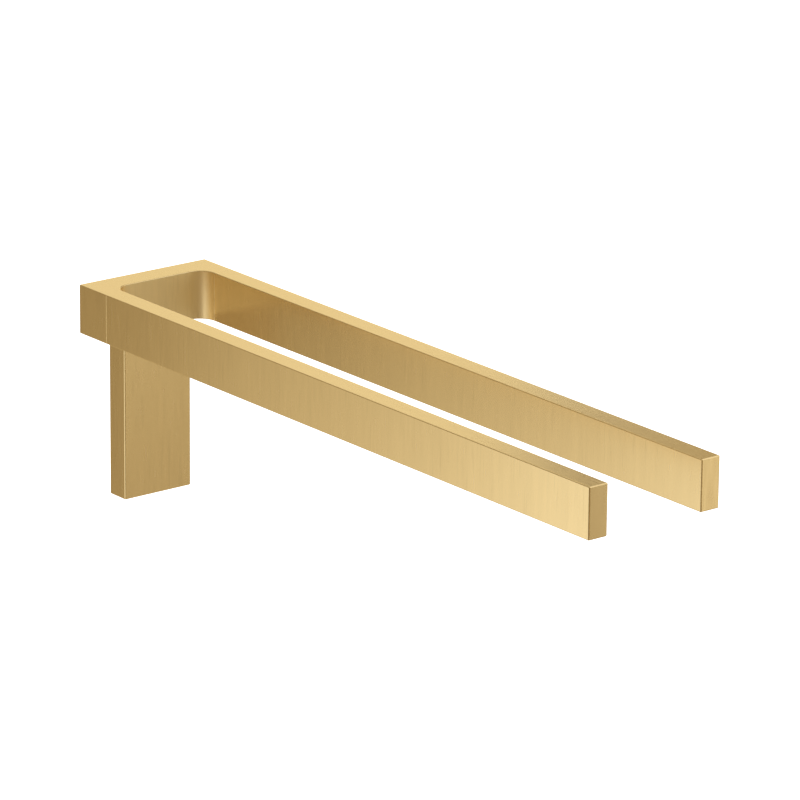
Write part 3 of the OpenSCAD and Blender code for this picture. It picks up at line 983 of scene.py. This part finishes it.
def stroke_colour(tree, space, is_level, fine):
    """Colour of the brass: strokes and darker single ones on upright faces, one even tone on level ones."""
    finish = settings("finish")
    # The sum of the two noises has twice the range of one
    both = maths(tree, "ADD", fine, noise(tree, space, BROAD_BANDS))
    share = remapped(tree, both, 2 * STROKE_RANGE[0], 2 * STROKE_RANGE[1], 0.0, 1.0)
    calm = add_node(tree, "ShaderNodeMix", {"Factor": is_level, 2: share, 3: LEVEL_TONE}).outputs[0]
    tone = mix_colours(tree, calm, *tones(finish.brass, finish.stroke_tone))
    single = noise(tree, space, SINGLE_STROKES, "4D")
    mark = remapped(tree, single, SINGLE_START, SINGLE_FULL, 0.0, finish.single_tone)
    marked = maths(tree, "SUBTRACT", mark, is_level, clamped=True)
    return add_node(tree, "ShaderNodeMix", {"Factor": marked, 6: tone, 7: [*BLACK, 1]},
                    data_type="RGBA").outputs[2]


def brushed_brass():
    """Brass with fine brush strokes, rougher in the head's milled pocket, whose flat wall gets painted
    light that makes it paler.
    """
    name = "stroked_brass"
    if name in bpy.data.materials:
        return bpy.data.materials[name]
    finish = settings("finish")
    material, tree, shader = new_metal(name)
    shader.inputs["Specular Tint"].default_value = [*finish.brass_edge, 1]
    space, is_level = stroke_space(tree, finish.stroke_width, finish.stroke_length)
    fine = noise(tree, space, FINE_STROKES)
    milled, flat_light_and_matt = in_pocket(tree, is_level)
    # Painted light: the pocket's flat wall is made paler, in place of light reflected there
    tint = mix_colours(tree, flat_light_and_matt, WHITE, finish.pocket_painted_light)
    colour = product(tree, stroke_colour(tree, space, is_level, fine), tint)
    tree.links.new(colour, shader.inputs["Base Color"])
    roughness = remapped(tree, fine, *STROKE_RANGE, finish.brass_roughness - BRASS_SPREAD,
                         finish.brass_roughness + BRASS_SPREAD)
    rougher = maths(tree, "MULTIPLY_ADD", milled, finish.pocket_matt, roughness)
    roughest = maths(tree, "MULTIPLY_ADD", flat_light_and_matt, finish.wall_matt, rougher)
    tree.links.new(roughest, shader.inputs["Roughness"])
    add_bump(tree, shader, fine, finish.stroke_depth)
    return material


def stainless_steel(name, grain, mean_roughness):
    """Stainless steel whose tone and roughness vary with its grain."""
    if name in bpy.data.materials:
        return bpy.data.materials[name]
    material, tree, shader = new_metal(name)
    place = add_node(tree, "ShaderNodeTexCoord").outputs["Object"]
    height = noise(tree, place, {"Scale": grain.scale, "Detail": grain.detail})
    colour = mix_colours(tree, height, *tones(settings("finish").steel, grain.tone))
    tree.links.new(colour, shader.inputs["Base Color"])
    roughness = remapped(tree, height, *GRAIN_RANGE, mean_roughness - grain.spread,
                         mean_roughness + grain.spread)
    tree.links.new(roughness, shader.inputs["Roughness"])
    if grain.depth:
        add_bump(tree, shader, height, grain.depth)
    return material


def blasted_steel():
    """Stainless steel of the wall plate, with a fine blasted grain."""
    return stainless_steel("blasted_steel", BLASTED_GRAIN, settings("finish").plate_roughness)


def turned_steel():
    """Stainless steel of the screws, washers and dowels, with a faint fine grain."""
    return stainless_steel("turned_steel", TURNED_GRAIN, settings("finish").screw_roughness)


class TOWELHOLDER_OT_stage(bpy.types.Operator):
    """Set up the camera, the pale floor and the light"""

    bl_idname = "towel_holder.stage"
    bl_label = "Stage"

    def execute(self, context):
        scene = context.scene
        scene.view_settings.view_transform = "Standard"
        self.add_camera(scene)
        self.add_floor()
        self.set_room(scene)
        for card in CARDS:
            self.add_card(card)
        return {"FINISHED"}

    def add_camera(self, scene):
        """Camera at the picture's viewing angle."""
        studio = settings("studio")
        turn, rise, roll = studio.azimuth, studio.elevation, studio.roll
        back = Vector((sin(turn) * cos(rise), -cos(turn) * cos(rise), sin(rise)))
        level = UP.cross(back).normalized()
        top = back.cross(level)
        right = level * cos(roll) + top * sin(roll)
        upward = top * cos(roll) - level * sin(roll)
        lens = bpy.data.cameras.new("camera")
        lens.lens = studio.lens
        lens.sensor_width = SENSOR_WIDTH
        lens.clip_end = CAMERA_REACH
        camera = bpy.data.objects.new("camera", lens)
        camera.matrix_world = Matrix((right, upward, back)).transposed().to_4x4()
        camera.matrix_world.translation = Vector(studio.target) + back * studio.distance
        scene.collection.objects.link(camera)
        scene.camera = camera

    def background_share(self, tree):
        """1 for the rays that show the background: the camera's, and those mirrored or seen through."""
        path = add_node(tree, "ShaderNodeLightPath").outputs
        seen = maths(tree, "MAXIMUM", path["Is Camera Ray"], path["Is Glossy Ray"])
        return maths(tree, "MAXIMUM", seen, path["Is Transmission Ray"])

    def add_floor(self):
        """Pale floor, which shows white to the rays that show the background."""
        studio = settings("studio")
        bm = bmesh.new()
        bmesh.ops.create_grid(bm, x_segments=1, y_segments=1, size=studio.floor_size / 2,
                              matrix=Matrix.Translation((0, 0, -studio.floor_drop)))
        floor = new_object("floor", bm)
        material = bpy.data.materials.new("pale_floor")
        tree = empty_tree(material)
        matt = add_node(tree, "ShaderNodeBsdfDiffuse", {"Color": [*studio.floor_colour, 1]})
        share = self.background_share(tree)
        glow = add_node(tree, "ShaderNodeEmission", {"Color": [*WHITE, 1], "Strength": share})
        both = add_node(tree, "ShaderNodeAddShader", {0: matt.outputs[0], 1: glow.outputs[0]})
        add_node(tree, "ShaderNodeOutputMaterial", {"Surface": both.outputs[0]})
        floor.data.materials.append(material)

    def set_room(self, scene):
        """Even light from all round, which shows white behind the object."""
        world = bpy.data.worlds.new("room")
        scene.world = world
        tree = empty_tree(world)
        level = remapped(tree, self.background_share(tree), 0.0, 1.0, settings("studio").room_level, 1.0)
        glow = add_node(tree, "ShaderNodeBackground", {"Color": [*WHITE, 1], "Strength": level})
        add_node(tree, "ShaderNodeOutputWorld", {"Surface": glow.outputs[0]})

    def add_card(self, card):
        """One card of the tent, which the camera looks through."""
        bm = bmesh.new()
        bmesh.ops.remove_doubles(bm, verts=add_block(bm, card.low, card.high), dist=TOLERANCE)
        made = new_object(card.name, bm)
        made.visible_camera = False
        material = bpy.data.materials.new(card.name)
        tree = empty_tree(material)
        light = self.card_light(tree, card)
        glow = add_node(tree, "ShaderNodeEmission", {"Color": light, "Strength": 1.0})
        add_node(tree, "ShaderNodeOutputMaterial", {"Surface": glow.outputs[0]})
        made.data.materials.append(material)

    def card_light(self, tree, card):
        """Colour of a card's light, which passes through the card's stops along its axis."""
        start, end = card.stops[0][0], card.stops[-1][0]
        along = remapped(tree, object_axes(tree)[card.axis], start, end, 0.0, 1.0)
        ramp = add_node(tree, "ShaderNodeValToRGB", {0: along})
        elements = ramp.color_ramp.elements
        for place, _ in card.stops[1:-1]:
            elements.new((place - start) / (end - start))
        for element, (_, level) in zip(elements, card.stops):
            element.color = (level, level, level, 1)
        faded = [maths(tree, "POWER", ramp.outputs[0], power) for power in LIGHT_FADE]
        light = add_node(tree, "ShaderNodeCombineXYZ", dict(enumerate(faded)))
        full = [channel * tint for channel, tint in zip(FULL_LIGHT, card.tint)]
        return product(tree, light.outputs[0], full)


class TOWELHOLDER_PT_panel(bpy.types.Panel):
    """Lists the pieces of the towel holder"""

    bl_idname = "TOWELHOLDER_PT_panel"
    bl_label = "Towel holder"
    bl_space_type = "VIEW_3D"
    bl_region_type = "UI"
    bl_category = "Towel Holder"

    def draw(self, context):
        column = self.layout.column()
        for operator in OPERATORS:
            column.operator(operator.bl_idname)
        for group, owner in GROUPS.items():
            box = self.layout.box()
            for prop in owner.__annotations__:
                box.prop(settings(group), prop)


GROUPS = {"sizes": HolderSizes, "finish": HolderFinish, "studio": StudioSettings}
OPERATORS = (TOWELHOLDER_OT_stage, TOWELHOLDER_OT_head, TOWELHOLDER_OT_arms, TOWELHOLDER_OT_post,
             TOWELHOLDER_OT_plate, TOWELHOLDER_OT_screws, TOWELHOLDER_OT_clamp_screw,
             TOWELHOLDER_OT_small_parts)


def register():
    """Registers the classes and hangs the settings on the scene."""
    for owner in (*GROUPS.values(), *OPERATORS, TOWELHOLDER_PT_panel):
        bpy.utils.register_class(owner)
    for group, owner in GROUPS.items():
        setattr(bpy.types.Scene, "towel_holder_" + group, PointerProperty(type=owner))


def unregister():
    """Takes the settings and the classes away again."""
    for group in GROUPS:
        delattr(bpy.types.Scene, "towel_holder_" + group)
    for owner in (TOWELHOLDER_PT_panel, *reversed(OPERATORS), *reversed(GROUPS.values())):
        bpy.utils.unregister_class(owner)


def main():
    """Makes the stage and every piece."""
    register()
    for operator in OPERATORS:
        group, name = operator.bl_idname.split(".")
        getattr(getattr(bpy.ops, group), name)()


if __name__ == "__main__":
    main()
